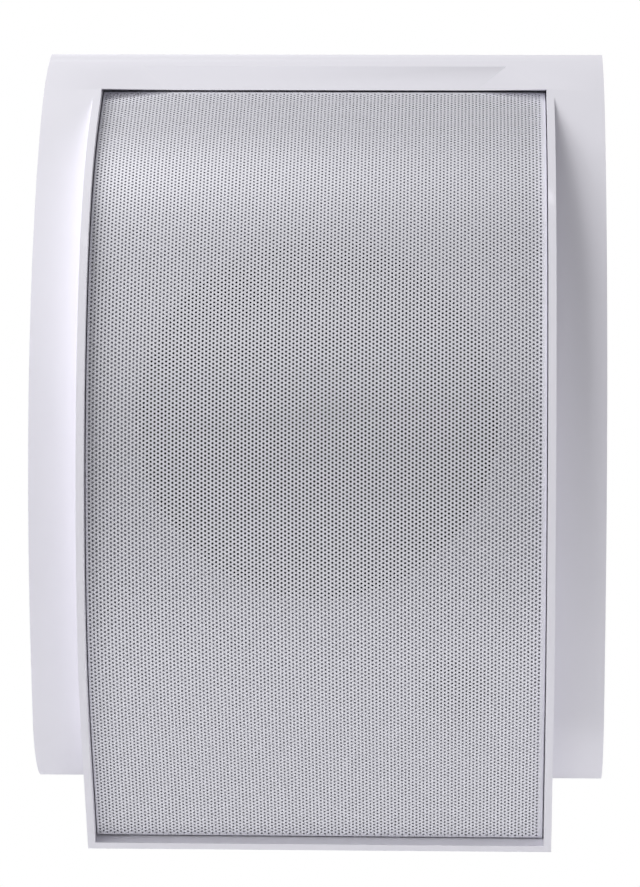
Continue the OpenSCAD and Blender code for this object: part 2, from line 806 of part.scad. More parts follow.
module solder_tags() color("gold")
    at_board(flange_y - basket_t - tag_len)
        for (side = [-1, 1]) translate([side * tag_pitch / 2, 0, 0]) difference() {
            translate([-tag_w / 2, -tag_t / 2, 0]) cube([tag_w, tag_t, tag_len]);
            translate([0, tag_t, tag_len / 4]) rotate([90, 0, 0])
                cylinder(h = 2 * tag_t, d = 1.6);
        }

// The line transformer, standing on the rear cover
trafo_y = cover_t + trafo_post_h;
foot_half = 4;
foot_x = core_w / 2 + clamp_t + foot_half + trafo_head_r - foot_half / 4;

module at_trafo(y) {
    from_wall(-trafo_x, trafo_z, y) children();
}

module trafo_screw_place(side, y) {
    at_trafo(y) translate([side * foot_x, 0, 0]) children();
}

// A block centred across the transformer's axis, from height y forwards
module block(w, d, h) {
    translate([-w / 2, -d / 2, 0]) cube([w, d, h]);
}

window_y = (core_h - window_h) / 2;

module transformer_core() color([0.35, 0.33, 0.32]) at_trafo(trafo_y) difference() {
    block(core_w, core_stack, core_h);
    for (side = [-1, 1])
        translate([side * (centre_leg_w() + window_w) / 2, 0, window_y])
            block(window_w, core_stack + 2 * over, window_h);
}

function centre_leg_w() = core_w / 3;
bobbin_t = 0.9;
bobbin_play = 0.1;
flange_grow = window_w - 0.5;

module transformer_bobbin() color([0.85, 0.8, 0.65])
    at_trafo(trafo_y + window_y + bobbin_play) difference() {
        union() {
            for (y = [0, window_h - 2 * bobbin_play - bobbin_t]) translate([0, 0, y])
                block(centre_leg_w() + 2 * flange_grow, core_stack + 2 * flange_grow, bobbin_t);
            block(centre_leg_w() + 2 * (bobbin_t + bobbin_play),
                core_stack + 2 * (bobbin_t + bobbin_play), window_h - 2 * bobbin_play);
        }
        translate([0, 0, -over]) block(centre_leg_w() + 2 * bobbin_play,
            core_stack + 2 * bobbin_play, window_h + 2 * over);
    }

module transformer_winding() color([0.62, 0.32, 0.15])
    at_trafo(trafo_y + window_y + bobbin_play + bobbin_t) {
        tall = window_h - 2 * bobbin_play - 2 * bobbin_t;
        difference() {
            block(centre_leg_w() + 2 * flange_grow - 1, core_stack + 2 * flange_grow - 1, tall);
            translate([0, 0, -over]) block(centre_leg_w() + 2 * (bobbin_t + bobbin_play),
                core_stack + 2 * (bobbin_t + bobbin_play), tall + 2 * over);
        }
    }

module transformer_clamp() color("silver") at_trafo(trafo_y) difference() {
    union() {
        block(core_w + 2 * clamp_t, core_stack - 2 * clamp_t, core_h + clamp_t);
        block(2 * (foot_x + foot_half), core_stack - 2 * clamp_t, clamp_t);
    }
    translate([0, 0, -over]) block(core_w, core_stack + over, core_h + over);
    for (side = [-1, 1]) translate([side * foot_x, 0, -over])
        cylinder(h = clamp_t + 2 * over, r = trafo_screw_r + shank_clear);
}

module transformer_screws() color("silver") for (side = [-1, 1])
    trafo_screw_place(side, trafo_y + clamp_t - trafo_screw_len) {
        cylinder(h = trafo_screw_len, r = trafo_screw_r);
        translate([0, 0, trafo_screw_len])
            cylinder(h = trafo_head_h, r1 = trafo_head_r, r2 = trafo_head_r - 0.8);
    }

// The terminal block in its cup, open to the rear
terminal_pitch = 8;
terminal_r = 2.6;
block_w = 34;
block_d = 11;
block_h = 9;
block_foot = block_h / 3;
wire_way = 4;
block_screw_x = block_w / 2 - 2.4;
block_screw_r = 1.3;
lead_r = 0.9;
lead_hole_r = 1.5;
lead_hole_inset = 2.6;

module terminal_block() color([0.12, 0.12, 0.13])
    from_wall(cup_x, cup_z, cup_depth - block_h) difference() {
        union() {
            block(block_w, block_d, block_h);
            translate([0, 0, block_h - block_foot]) block(block_w, block_d + 2, block_foot);
        }
        for (i = [-1:1]) translate([i * terminal_pitch, 0, 0]) {
            translate([0, 0, -over])
                cylinder(h = block_h - block_foot - over / 2, r = terminal_r + shank_clear);
            translate([0, 0, block_foot]) block(wire_way, block_d + 2 * over, block_foot);
        }
        for (side = [-1, 1]) translate([side * block_screw_x, 0, -over])
            cylinder(h = block_h + 2 * over, r = block_screw_r + shank_clear);
    }

module terminal_screws() color("silver")
    for (i = [-1:1]) from_wall(cup_x + i * terminal_pitch, cup_z, cup_depth - block_h + 0.8)
        difference() {
            cylinder(h = 2.2, r = terminal_r);
            translate([0, 0, -over]) block(2 * terminal_r + over, 0.8, 0.8 + over);
        }

module block_screws() color("silver")
    for (side = [-1, 1]) from_wall(cup_x + side * block_screw_x, cup_z, cup_depth - block_h) {
        cylinder(h = block_h + pocket_wall, r = block_screw_r);
        translate([0, 0, -1.4]) cylinder(h = 1.4, r1 = 1.9, r2 = 2.2);
    }

// Leads, each along its own smooth route
lead_sides = 8;
tinsel_r = 0.5;

// A point on the smooth curve through the route's points, at u from 0 to 1
function along(route, u) =
    let (
        n = len(route) - 1,
        i = min(n - 1, floor(u * n)),
        t = u * n - i,
        a = route[max(0, i - 1)],
        b = route[i],
        c = route[i + 1],
        d = route[min(n, i + 2)]
    )
    0.5 * (2 * b + (c - a) * t + (2 * a - 5 * b + 4 * c - d) * t * t
        + (3 * b - a - 3 * c + d) * t * t * t);
function unit(v) = v / norm(v);

module lead(route, r, rings) {
    side_way = unit(cross(route[1] - route[0], [0.31, 0.52, 0.79]));
    points = [for (i = [0:rings]) along(route, i / rings)];
    ways = [for (i = [0:rings]) unit(points[min(rings, i + 1)] - points[max(0, i - 1)])];
    // Turns the ring's side along with the curve, without a twist
    function sides(i) = i == 0
        ? [unit(side_way - (side_way * ways[0]) * ways[0])]
        : let (before = sides(i - 1), s = before[len(before) - 1])
          concat(before, [unit(s - (s * ways[i]) * ways[i])]);
    across = sides(rings);
    n = lead_sides;
    corners = [for (i = [0:rings], k = [0:n - 1])
        points[i] + r * (cos(k * 360 / n) * across[i]
            + sin(k * 360 / n) * cross(ways[i], across[i]))];
    skin = [for (i = [0:rings - 1], k = [0:n - 1])
        [i * n + k, (i + 1) * n + k, (i + 1) * n + (k + 1) % n, i * n + (k + 1) % n]];
    polyhedron(
        points = corners,
        faces = concat(skin, [
            [for (k = [0:n - 1]) k],
            [for (k = [n - 1:-1:0]) rings * n + k]
        ]), convexity = 4);
}

// Where a lead meets the face of the winding, and the faces of the tags
end_gap = 0.15;
winding_side = (centre_leg_w() + 2 * flange_grow - 1) / 2 + end_gap;
winding_top_z = trafo_z + (core_stack + 2 * flange_grow - 1) / 2 + end_gap;
winding_mid_y = trafo_y + core_h / 2;
tag_end_y = flange_y - basket_t - tag_len + tag_w / 4;
tag_low_z = drv_z - board_r - tag_t / 2 - lead_r - end_gap;
tag_high_z = drv_z - board_r + tag_t / 2 + tinsel_r + end_gap;
hole_z = cup_z + cup_h / 2 - lead_hole_inset;

module lead_red() color([0.75, 0.1, 0.1]) {
    x = -trafo_x + centre_leg_w() / 2;
    y = winding_mid_y + 5;
    lead([
        [x, -y, winding_top_z], [x, -y, winding_top_z + 3],
        [x + 12, -y - 9, winding_top_z + 3.6], [x + 28, -y - 16, tag_low_z - 4],
        [-tag_pitch / 2, -tag_end_y + 3, tag_low_z - 1], [-tag_pitch / 2, -tag_end_y, tag_low_z]
    ], lead_r, 25);
}

module lead_black() color([0.1, 0.1, 0.1]) {
    x = -trafo_x - centre_leg_w() / 4;
    y = winding_mid_y + 5;
    lead([
        [x, -y, winding_top_z], [x, -y, winding_top_z + 3],
        [x + 16, -y - 17, winding_top_z + 1.6], [x + 44, -y - 26, tag_low_z - 7],
        [tag_pitch / 2, -tag_end_y + 3, tag_low_z - 1], [tag_pitch / 2, -tag_end_y, tag_low_z]
    ], lead_r, 25);
}

// Each lead leaves its terminal, passes the cup's floor and runs to the winding
module tap_leads() color([0.85, 0.8, 0.3]) for (i = [-1:1]) {
    x = cup_x + i * terminal_pitch;
    y = winding_mid_y - 1 + 5 * i;
    wire_y = cup_depth - block_h / 2;
    lead([
        [x, -wire_y, cup_z + block_d / 4], [x, -wire_y, hole_z - 2],
        [x, -wire_y - 2, hole_z], [x, -cup_depth - pocket_wall - over, hole_z],
        [x - 3, -y, hole_z], [-trafo_x + winding_side + 12, -y, hole_z - 1],
        [-trafo_x + winding_side, -y, hole_z - 1]
    ], lead_r, 30);
}

// Braided leads from the tags to the cone, slack enough for its travel
module tinsel_leads() color([0.8, 0.5, 0.3]) for (side = [-1, 1]) lead([
    [side * tag_pitch / 2, -flange_y + basket_t + tag_len / 2, tag_high_z],
    [side * 7, -57, tag_high_z + 10],
    [side * 9, -51, tag_high_z + 22],
    [side * 11, -57.2, tag_high_z + 33]
], tinsel_r, 16);

// The pad of damping wadding on the cover, between the keyholes' boxes
wadding_gap = 3;
wadding_w = keyhole_pitch - keyhole_d - 2 * (pocket_play + pocket_wall + wadding_gap);
wadding_top = cover_top - rib_inset - pocket_wall - wadding_gap;
module wadding() color([0.93, 0.93, 0.9])
    plate(wadding_w, wadding_top - wadding_h, wadding_top, cover_t, wadding_t);

front_shell();
grille();
rear_cover();
cover_screws();
port_tube();
driver_gasket();
driver_basket();
driver_screws();
surround();
cone();
dust_cap();
coil_former();
coil_winding();
spider();
top_plate();
ferrite_magnet();
yoke();
tag_board();
solder_tags();
tinsel_leads();
transformer_core();
transformer_bobbin();
transformer_winding();
transformer_clamp();
transformer_screws();
terminal_block();
terminal_screws();
block_screws();
lead_red();
lead_black();
tap_leads();
wadding();
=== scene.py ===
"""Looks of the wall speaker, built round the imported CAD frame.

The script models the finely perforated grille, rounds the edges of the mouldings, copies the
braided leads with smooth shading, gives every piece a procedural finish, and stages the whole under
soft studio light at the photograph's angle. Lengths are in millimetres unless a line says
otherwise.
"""

import json
import logging
import math
from collections.abc import Callable, Iterator
from contextlib import contextmanager
from dataclasses import dataclass, field
from enum import Enum
from typing import ClassVar

import bmesh
import bpy
from mathutils import Matrix, Vector

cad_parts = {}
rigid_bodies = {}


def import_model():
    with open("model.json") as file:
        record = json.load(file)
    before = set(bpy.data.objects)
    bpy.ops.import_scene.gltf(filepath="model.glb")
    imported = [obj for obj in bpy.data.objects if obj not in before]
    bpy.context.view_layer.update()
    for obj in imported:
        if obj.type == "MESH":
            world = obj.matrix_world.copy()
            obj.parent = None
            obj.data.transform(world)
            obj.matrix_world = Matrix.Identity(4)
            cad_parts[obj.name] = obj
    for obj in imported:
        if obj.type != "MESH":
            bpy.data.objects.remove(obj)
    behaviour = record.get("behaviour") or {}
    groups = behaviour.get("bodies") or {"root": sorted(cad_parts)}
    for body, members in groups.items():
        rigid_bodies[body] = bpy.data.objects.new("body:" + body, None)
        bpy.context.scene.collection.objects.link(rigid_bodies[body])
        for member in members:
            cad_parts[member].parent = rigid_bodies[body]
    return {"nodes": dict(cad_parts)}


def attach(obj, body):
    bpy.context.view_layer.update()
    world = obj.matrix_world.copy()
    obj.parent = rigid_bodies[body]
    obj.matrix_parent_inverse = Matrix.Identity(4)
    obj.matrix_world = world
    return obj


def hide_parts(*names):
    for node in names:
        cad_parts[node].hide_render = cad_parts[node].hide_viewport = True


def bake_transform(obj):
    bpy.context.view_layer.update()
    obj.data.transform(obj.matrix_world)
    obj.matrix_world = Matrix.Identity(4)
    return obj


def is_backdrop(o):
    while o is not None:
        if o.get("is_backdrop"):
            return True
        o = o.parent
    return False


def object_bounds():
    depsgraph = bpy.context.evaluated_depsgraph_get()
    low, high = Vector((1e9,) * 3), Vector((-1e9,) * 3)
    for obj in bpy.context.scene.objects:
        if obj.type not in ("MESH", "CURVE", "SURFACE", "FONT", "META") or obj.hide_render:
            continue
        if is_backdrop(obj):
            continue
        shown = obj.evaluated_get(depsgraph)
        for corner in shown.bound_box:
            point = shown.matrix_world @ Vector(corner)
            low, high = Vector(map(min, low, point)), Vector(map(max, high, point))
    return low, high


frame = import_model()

LOG = logging.getLogger("wall_speaker")
MM = 0.001
Colour = tuple[float, float, float]
NEAR = 1e-6  # two places closer than this, in metres, are the same
NOISE_LOW, NOISE_HIGH = 0.2, 0.8  # a texture's value mostly stays between these
PATCH_SCALE = 22.0  # broad patches of tone per metre
PATCH_DETAIL = 3.0
ROUGH_SPREAD = 0.05  # how far the patches change the roughness either way
COAT_ROUGHNESS = 0.25
BRUSH_STRETCH = 0.06  # a brushed grain's scale along its strokes
PLAIN_NOISE = (4.0, 0.6)  # detail and roughness of a moulded grain's noise
POWDER_NOISE = (2.0, 0.35)  # the same for a powder coat


class Pattern(Enum):
    """The kind of fine surface detail that a finish carries."""

    MOULDED = "moulded"
    POWDER = "powder"
    BRUSHED = "brushed"
    PAPER = "paper"
    FIBRE = "fibre"


@dataclass(frozen=True)
class Finish:
    """A procedural material.

    Attributes:
        name: Name of the material.
        colour: Linear base colour.
        roughness: Roughness of the surface.
        pattern: Kind of fine detail.
        metallic: Metallic share.
        grain: Size of the fine detail, in millimetres.
        tint: How far the fine detail lightens and darkens the colour.
        mottle: How far broad patches lighten and darken the colour.
        relief: Height of the fine detail, in millimetres.
        coat: Weight of a clear coat.
    """

    name: str
    colour: Colour
    roughness: float
    pattern: Pattern = Pattern.MOULDED
    metallic: float = 0.0
    grain: float = 0.6
    tint: float = 0.03
    mottle: float = 0.02
    relief: float = 0.008
    coat: float = 0.0

    def build(self) -> bpy.types.Material:
        """Makes the material, once.

        Returns:
            The material, ready to use.
        """
        made = bpy.data.materials.get(self.name)
        if made is not None:
            return made
        material = bpy.data.materials.new(self.name)
        material.use_nodes = True
        tree = material.node_tree
        shader = tree.nodes["Principled BSDF"]
        place = tree.nodes.new("ShaderNodeTexCoord").outputs["Object"]
        fine = self._detail(tree, place)
        broad = tree.nodes.new("ShaderNodeTexNoise")
        broad.inputs["Scale"].default_value = PATCH_SCALE
        broad.inputs["Detail"].default_value = PATCH_DETAIL
        tree.links.new(place, broad.inputs["Vector"])
        shade = self._scaled(tree, fine, 1 - self.tint, 1 + self.tint)
        patches = self._scaled(tree, broad.outputs["Fac"], 1 - self.mottle, 1 + self.mottle)
        colour = tree.nodes.new("ShaderNodeVectorMath")
        colour.operation = "SCALE"
        colour.inputs[0].default_value = self.colour
        tree.links.new(self._times(tree, shade, patches), colour.inputs["Scale"])
        tree.links.new(colour.outputs["Vector"], shader.inputs["Base Color"])
        rough = self._scaled(tree, broad.outputs["Fac"],
                             self.roughness - ROUGH_SPREAD, self.roughness + ROUGH_SPREAD)
        tree.links.new(rough, shader.inputs["Roughness"])
        bump = tree.nodes.new("ShaderNodeBump")
        bump.inputs["Strength"].default_value = 1.0
        bump.inputs["Distance"].default_value = self.relief * MM
        tree.links.new(fine, bump.inputs["Height"])
        tree.links.new(bump.outputs["Normal"], shader.inputs["Normal"])
        shader.inputs["Metallic"].default_value = self.metallic
        shader.inputs["Coat Weight"].default_value = self.coat
        shader.inputs["Coat Roughness"].default_value = COAT_ROUGHNESS
        return material

    def _detail(
        self, tree: bpy.types.NodeTree, place: bpy.types.NodeSocket
    ) -> bpy.types.NodeSocket:
        """Adds the fine detail.

        Args:
            tree: Node tree to add to.
            place: Socket with Object coordinates.

        Returns:
            The socket that carries the detail, from 0 to 1.
        """
        scale = 1 / (self.grain * MM)
        if self.pattern is Pattern.BRUSHED:
            stretch = tree.nodes.new("ShaderNodeMapping")
            stretch.inputs["Scale"].default_value = (1.0, 1.0, BRUSH_STRETCH)
            tree.links.new(place, stretch.inputs["Vector"])
            place = stretch.outputs["Vector"]
        if self.pattern in (Pattern.PAPER, Pattern.FIBRE):
            cells = tree.nodes.new("ShaderNodeTexVoronoi")
            cells.feature = "F1" if self.pattern is Pattern.PAPER else "DISTANCE_TO_EDGE"
            cells.inputs["Scale"].default_value = scale
            tree.links.new(place, cells.inputs["Vector"])
            return cells.outputs["Distance"]
        noise = tree.nodes.new("ShaderNodeTexNoise")
        detail, fall = POWDER_NOISE if self.pattern is Pattern.POWDER else PLAIN_NOISE
        noise.inputs["Scale"].default_value = scale
        noise.inputs["Detail"].default_value = detail
        noise.inputs["Roughness"].default_value = fall
        tree.links.new(place, noise.inputs["Vector"])
        return noise.outputs["Fac"]

    @staticmethod
    def _scaled(
        tree: bpy.types.NodeTree, value: bpy.types.NodeSocket, low: float, high: float
    ) -> bpy.types.NodeSocket:
        """Maps a texture's value to the range from low to high."""
        node = tree.nodes.new("ShaderNodeMapRange")
        node.inputs["From Min"].default_value = NOISE_LOW
        node.inputs["From Max"].default_value = NOISE_HIGH
        node.inputs["To Min"].default_value = low
        node.inputs["To Max"].default_value = high
        tree.links.new(value, node.inputs["Value"])
        return node.outputs["Result"]

    @staticmethod
    def _times(
        tree: bpy.types.NodeTree, a: bpy.types.NodeSocket, b: bpy.types.NodeSocket
    ) -> bpy.types.NodeSocket:
        """Multiplies two values."""
        node = tree.nodes.new("ShaderNodeMath")
        node.operation = "MULTIPLY"
        tree.links.new(a, node.inputs[0])
        tree.links.new(b, node.inputs[1])
        return node.outputs["Value"]


SHELL = Finish("shell_white", (0.79, 0.78, 0.855), 0.42, Pattern.MOULDED, grain=0.5, tint=0.008,
               mottle=0.012, relief=0.004)
SHEET = Finish("grille_white", (0.92, 0.91, 0.955), 0.45, Pattern.POWDER, grain=0.8, tint=0.01,
               mottle=0.01, relief=0.006)
COVER = Finish("cover_white", (0.78, 0.77, 0.83), 0.5, Pattern.MOULDED, grain=0.7, tint=0.015,
               relief=0.01)
ZINC = Finish("zinc_steel", (0.66, 0.67, 0.68), 0.33, Pattern.BRUSHED, metallic=1.0, grain=0.5,
              tint=0.08, relief=0.004)
PORT = Finish("port_plastic", (0.10, 0.10, 0.11), 0.5, Pattern.MOULDED, grain=0.6)
FOAM = Finish("gasket_foam", (0.03, 0.03, 0.032), 0.95, Pattern.PAPER, grain=0.5, tint=0.3,
              relief=0.1)
BLACK_PAINT = Finish("black_paint", (0.03, 0.03, 0.032), 0.45, Pattern.POWDER, grain=0.7,
                     tint=0.05)
BLACK_OXIDE = Finish("black_oxide", (0.035, 0.035, 0.035), 0.4, Pattern.BRUSHED, metallic=0.7,
                     grain=0.4)
RUBBER = Finish("surround_rubber", (0.02, 0.02, 0.021), 0.6, Pattern.MOULDED, grain=0.6, tint=0.1)
PAPER = Finish("cone_paper", (0.035, 0.035, 0.04), 0.85, Pattern.PAPER, grain=0.9, tint=0.35,
               mottle=0.12, relief=0.05)
CARD = Finish("former_card", (0.42, 0.28, 0.13), 0.8, Pattern.PAPER, grain=0.6, tint=0.12)
COPPER = Finish("enamelled_copper", (0.62, 0.22, 0.09), 0.3, Pattern.BRUSHED, metallic=0.9,
                grain=0.3, tint=0.15, relief=0.03, coat=0.5)
CLOTH = Finish("spider_cloth", (0.48, 0.33, 0.10), 0.9, Pattern.FIBRE, grain=0.45, tint=0.25,
               relief=0.08)
STEEL = Finish("plated_steel", (0.55, 0.56, 0.58), 0.3, Pattern.BRUSHED, metallic=1.0, grain=0.6,
               tint=0.06)
FERRITE = Finish("ferrite", (0.055, 0.053, 0.053), 0.55, Pattern.PAPER, grain=0.5, tint=0.15)
PHENOLIC = Finish("phenolic", (0.20, 0.075, 0.025), 0.4, Pattern.FIBRE, grain=0.8, tint=0.12,
                  coat=0.2)
BRASS = Finish("tinned_brass", (0.70, 0.62, 0.42), 0.3, Pattern.BRUSHED, metallic=1.0, grain=0.4)
LAMINATION = Finish("laminations", (0.11, 0.10, 0.10), 0.45, Pattern.BRUSHED, metallic=0.6,
                    grain=0.35, tint=0.3, relief=0.05)
NYLON = Finish("bobbin_nylon", (0.72, 0.66, 0.50), 0.45, Pattern.MOULDED, grain=0.8)
BLACK_PLASTIC = Finish("terminal_plastic", (0.02, 0.02, 0.021), 0.5, Pattern.MOULDED, grain=0.5)
RED_PVC = Finish("red_lead", (0.48, 0.012, 0.012), 0.4, Pattern.MOULDED, grain=0.8)
BLACK_PVC = Finish("black_lead", (0.018, 0.018, 0.018), 0.4, Pattern.MOULDED, grain=0.8)
YELLOW_PVC = Finish("yellow_lead", (0.60, 0.44, 0.04), 0.4, Pattern.MOULDED, grain=0.8)
WADDING = Finish("polyester_wadding", (0.80, 0.80, 0.78), 0.95, Pattern.FIBRE, grain=1.6,
                 tint=0.1, relief=0.5)

NODE_FINISH: dict[str, Finish] = {
    "cover_screws": ZINC, "port_tube": PORT, "driver_gasket": FOAM, "driver_basket": BLACK_PAINT,
    "driver_screws": BLACK_OXIDE, "surround": RUBBER, "cone": PAPER, "dust_cap": PAPER,
    "coil_former": CARD, "coil_winding": COPPER, "spider": CLOTH, "top_plate": STEEL,
    "ferrite_magnet": FERRITE, "yoke": STEEL, "tag_board": PHENOLIC, "solder_tags": BRASS,
    "tinsel_leads": COPPER, "transformer_core": LAMINATION, "transformer_bobbin": NYLON,
    "transformer_winding": COPPER, "transformer_clamp": ZINC, "transformer_screws": ZINC,
    "terminal_block": BLACK_PLASTIC, "terminal_screws": ZINC, "block_screws": ZINC,
    "lead_red": RED_PVC, "lead_black": BLACK_PVC, "tap_leads": YELLOW_PVC, "wadding": WADDING,
    "front_shell": SHELL, "grille": SHEET, "rear_cover": COVER,
}


def only(obj: bpy.types.Object) -> None:
    """Selects one object alone and makes it active."""
    bpy.ops.object.select_all(action="DESELECT")
    obj.select_set(True)
    bpy.context.view_layer.objects.active = obj


@contextmanager
def editing(obj: bpy.types.Object) -> Iterator[None]:
    """Keeps an object in edit mode for as long as the block runs."""
    only(obj)
    bpy.ops.object.mode_set(mode="EDIT")
    try:
        yield
    finally:
        bpy.ops.object.mode_set(mode="OBJECT")


def pick(obj: bpy.types.Object, kind: str, test: Callable[..., bool]) -> int:
    """Selects, in edit mode, just the elements that pass a test.

    Args:
        obj: The object in edit mode.
        kind: Which elements: VERT, EDGE or FACE.
        test: Takes one bmesh element and says whether it is selected.

    Returns:
        How many elements were selected.
    """
    bpy.ops.mesh.select_mode(type=kind)
    bpy.ops.mesh.select_all(action="DESELECT")
    mesh = bmesh.from_edit_mesh(obj.data)
    elements = {"VERT": mesh.verts, "EDGE": mesh.edges, "FACE": mesh.faces}[kind]
    count = 0
    for element in elements:
        if test(element):
            element.select_set(True)
            count += 1
    mesh.select_flush_mode()
    bmesh.update_edit_mesh(obj.data)
    return count


def slide(vector: Vector) -> dict[str, tuple[float, float, float]]:
    """Settings of a move, for an extrude operator."""
    return {"value": tuple(vector)}


def apply_all(obj: bpy.types.Object) -> None:
    """Applies every modifier of an object, in order."""
    only(obj)
    for modifier in list(obj.modifiers):
        bpy.ops.object.modifier_apply(modifier=modifier.name)


def settle(obj: bpy.types.Object) -> None:
    """Puts the object's place, turn and size into its mesh."""
    only(obj)
    bpy.ops.object.transform_apply(location=True, rotation=True, scale=True)


def dress(
    obj: bpy.types.Object, finish: Finish, slot: str, body: str, *nodes: str
) -> bpy.types.Object:
    """Gives a new piece its finish and its body, and hides the CAD nodes that it stands for.

    Args:
        obj: The new piece.
        finish: Its finish.
        slot: Its material slot in the record; not used.
        body: The body that it rides on.
        nodes: The CAD nodes that it stands for.

    Returns:
        The same piece.
    """
    obj.data.materials.clear()
    obj.data.materials.append(finish.build())
    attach(obj, body)
    if nodes:
        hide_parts(*nodes)
    return obj


FRAME_WELD = 0.002  # vertices of a CAD node closer than this are joined
FLAT = math.radians(0.3)  # faces that meet at less than this are one face


def copied_node(node: str, name: str) -> bpy.types.Object:
    """Copies a CAD node into a new mesh whose triangles are joined into its real faces.

    Args:
        node: Name of the CAD node.
        name: Name of the new piece.

    Returns:
        The new object.
    """
    source = frame["nodes"][node]
    copy = bpy.data.objects.new(name, source.data.copy())
    copy.matrix_world = source.matrix_world
    bpy.context.collection.objects.link(copy)
    settle(copy)
    with editing(copy):
        bpy.ops.mesh.select_mode(type="VERT")
        bpy.ops.mesh.select_all(action="SELECT")
        bpy.ops.mesh.remove_doubles(threshold=FRAME_WELD * MM)
        bpy.ops.mesh.dissolve_limited(angle_limit=FLAT)
    return copy


RUN_STEPS = 60  # parts of the guide's straight run


@dataclass
class Bow:
    """The side view of the grille: legs of constant radius, then a straight run, above and below.

    Attributes:
        reach: Distance of the foremost line from the wall.
        height: Height of the foremost line.
        up: Legs above it, each a radius and the tilt at its end, or 0 and a length.
        low: The same below it.
        spare: Straight length of the guide past each end, for the margins and the turned edges.
    """

    reach: float = 102.0
    height: float = -12.5
    up: tuple[tuple[float, float], ...] = ((207.0, 16.5), (114.0, 53.0), (0.0, 23.7))
    low: tuple[tuple[float, float], ...] = ((247.0, 12.0), (154.0, 34.5), (0.0, 45.8))
    spare: float = 20.0

    @staticmethod
    def _side(legs: tuple[tuple[float, float], ...], spare: float) -> list[Vector]:
        """Points along one side, as height and depth, from the foremost line outwards."""
        points = [Vector((0.0, 0.0))]
        tilt = 0.0
        for radius, end in legs:
            start = points[-1].copy()
            if radius == 0:
                length = end + spare
                way = Vector((math.cos(tilt), math.sin(tilt)))
                points += [start + way * length * k / RUN_STEPS for k in range(1, RUN_STEPS + 1)]
                continue
            last = math.radians(end)
            centre = start + radius * Vector((-math.sin(tilt), math.cos(tilt)))
            count = int(radius * (last - tilt))
            for k in range(1, count + 1):
                turn = tilt + (last - tilt) * k / count
                points.append(centre + radius * Vector((math.sin(turn), -math.cos(turn))))
            tilt = last
        return points

    @staticmethod
    def length(legs: tuple[tuple[float, float], ...]) -> float:
        """Length of one side along the sheet."""
        total, tilt = 0.0, 0.0
        for radius, end in legs:
            if radius == 0:
                total += end
            else:
                total += radius * (math.radians(end) - tilt)
                tilt = math.radians(end)
        return total

    def curve(self) -> bpy.types.Object:
        """Makes the guide curve for a Curve modifier, with height along X and depth along Y."""
        up = self._side(self.up, self.spare)
        low = [Vector((-p.x, p.y)) for p in self._side(self.low, self.spare)[:0:-1]]
        data = bpy.data.curves.new("bow_guide", "CURVE")
        data.dimensions = "2D"
        spline = data.splines.new("POLY")
        points = low + up
        spline.points.add(len(points) - 1)
        for point, place in zip(spline.points, points):
            point.co = (place.x * MM, place.y * MM, 0.0, 1.0)
        guide = bpy.data.objects.new("bow_guide", data)
        bpy.context.collection.objects.link(guide)
        return guide


WELD = 0.01  # vertices of neighbouring cells closer than this are joined
PAST = 0.05  # how far past the last holes the cells are kept


